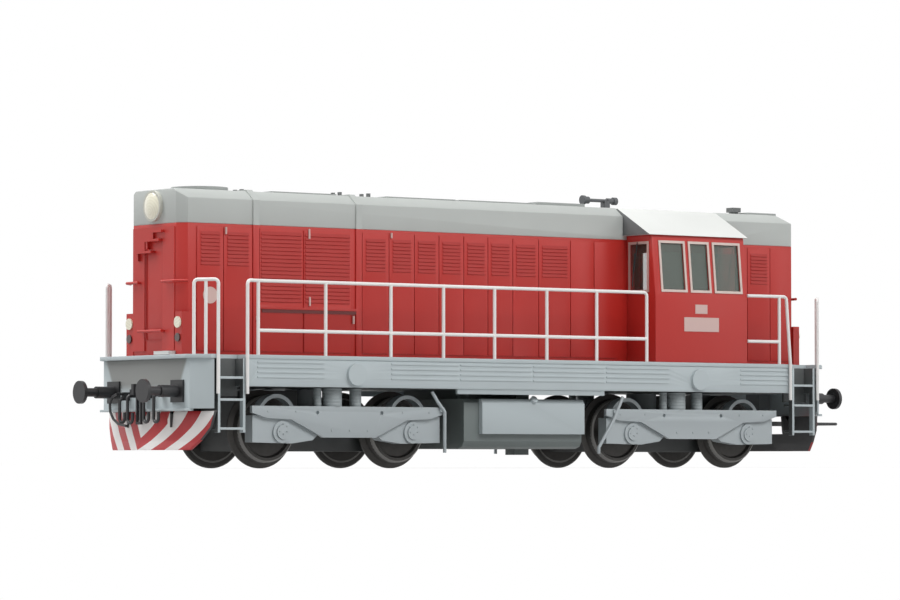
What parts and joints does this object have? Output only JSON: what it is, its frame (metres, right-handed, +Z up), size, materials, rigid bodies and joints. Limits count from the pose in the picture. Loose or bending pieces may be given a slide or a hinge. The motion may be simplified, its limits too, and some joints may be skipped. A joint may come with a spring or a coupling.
{
  "type": "scale model diesel locomotive",
  "caption": "H0 scale model of a diesel locomotive with an off-centre cab, side walkways and handrails, on turning bogies with free-running wheelsets.",
  "frame": {"origin": "midway between the buffer faces, on the centre line, at the lowest point of the wheel flanges", "axes": "+X towards the end with the cab and the short hood, +Y towards the right side as seen from the cab looking along the long hood, +Z up"},
  "size_m": [0.1616, 0.0348, 0.0503],
  "materials": {
    "red": "satin red moulding",
    "band_grey": "satin light grey moulding",
    "roof_white": "satin off-white moulding",
    "frame_grey": "satin bluish grey moulding",
    "underframe": "dark painted casting",
    "motor": "plain metal",
    "gear": "dark moulding",
    "wheels": "darkened metal",
    "black": "satin black moulding",
    "dark": "dark grey moulding",
    "plough": "red and white diagonal stripes",
    "white": "satin white moulding",
    "lens": "clear cream lens",
    "glass": "clear moulded pane",
    "silver": "printed silver",
    "interior": "pale green moulding"
  },
  "bodies": {
    "chassis": {"brake_hoses": "black", "buffers": "black", "cab": "red", "cab_glazing": "glass", "cab_interior": "interior", "cab_roof": "roof_white", "coupling_bracket": "underframe", "deck": "frame_grey", "draw_hooks": "black", "fan_grille": "roof_white", "fuel_tank": "frame_grey", "handrails_left": "white", "handrails_right": "white", "headlamp_rims": "band_grey", "headstock_front": "frame_grey", "headstock_rear": "frame_grey", "hood_doors_left": "red", "hood_doors_right": "red", "hood_fittings_front": "red", "hood_fittings_rear": "red", "horns": "dark", "ladders": "frame_grey", "lamp_lenses": "lens", "long_hood": "red", "long_hood_roof": "band_grey", "marker_lamps": "red", "motor_block": "motor", "pivot_pins": "underframe", "roof_hatches": "roof_white", "roof_joint_strips": "band_grey", "roof_lugs_and_vent": "roof_white", "short_hood": "red", "short_hood_roof": "band_grey", "side_sill_left": "frame_grey", "side_sill_right": "frame_grey", "snow_plough_front": "plough", "snow_plough_rear": "plough", "underframe": "underframe", "window_frames": "silver"},
    "coupling": {"loop_coupling": "black"},
    "bogie_front": {"axle_boxes_front": "frame_grey", "bogie_frame_front": "frame_grey", "bogie_springs_front": "frame_grey", "gear_housing_front": "gear", "sand_pipes_front": "frame_grey"},
    "bogie_rear": {"axle_boxes_rear": "frame_grey", "bogie_frame_rear": "frame_grey", "bogie_springs_rear": "frame_grey", "gear_housing_rear": "gear", "sand_pipes_rear": "frame_grey"},
    "wheelset_1_body": {"wheelset_1": "wheels"},
    "wheelset_2_body": {"wheelset_2": "wheels"},
    "wheelset_3_body": {"wheelset_3": "wheels"},
    "wheelset_4_body": {"wheelset_4": "wheels"}
  },
  "joints": [
    {"name": "bogie_front_pivot", "type": "hinge", "parent": "chassis", "child": "bogie_front", "pos_m": [-0.03851, 0, 0.01134], "axis": [0, 0, 1], "range_deg": [-6.5, 6.5]},
    {"name": "bogie_rear_pivot", "type": "hinge", "parent": "chassis", "child": "bogie_rear", "pos_m": [0.03851, 0, 0.01134], "axis": [0, 0, 1], "range_deg": [-6.5, 6.5]},
    {"name": "wheelset_1_roll", "type": "hinge", "parent": "bogie_front", "child": "wheelset_1_body", "pos_m": [-0.0523, 0, 0.00675], "axis": [0, 1, 0], "continuous": true},
    {"name": "wheelset_2_roll", "type": "hinge", "parent": "bogie_front", "child": "wheelset_2_body", "pos_m": [-0.02471, 0, 0.00675], "axis": [0, 1, 0], "continuous": true},
    {"name": "wheelset_3_roll", "type": "hinge", "parent": "bogie_rear", "child": "wheelset_3_body", "pos_m": [0.02471, 0, 0.00675], "axis": [0, 1, 0], "continuous": true},
    {"name": "wheelset_4_roll", "type": "hinge", "parent": "bogie_rear", "child": "wheelset_4_body", "pos_m": [0.0523, 0, 0.00675], "axis": [0, 1, 0], "continuous": true},
    {"name": "coupling_swivel", "type": "hinge", "parent": "chassis", "child": "coupling", "pos_m": [0.0677, 0, 0.00836], "axis": [0, 0, 1], "range_deg": [-12, 12]}
  ]
}
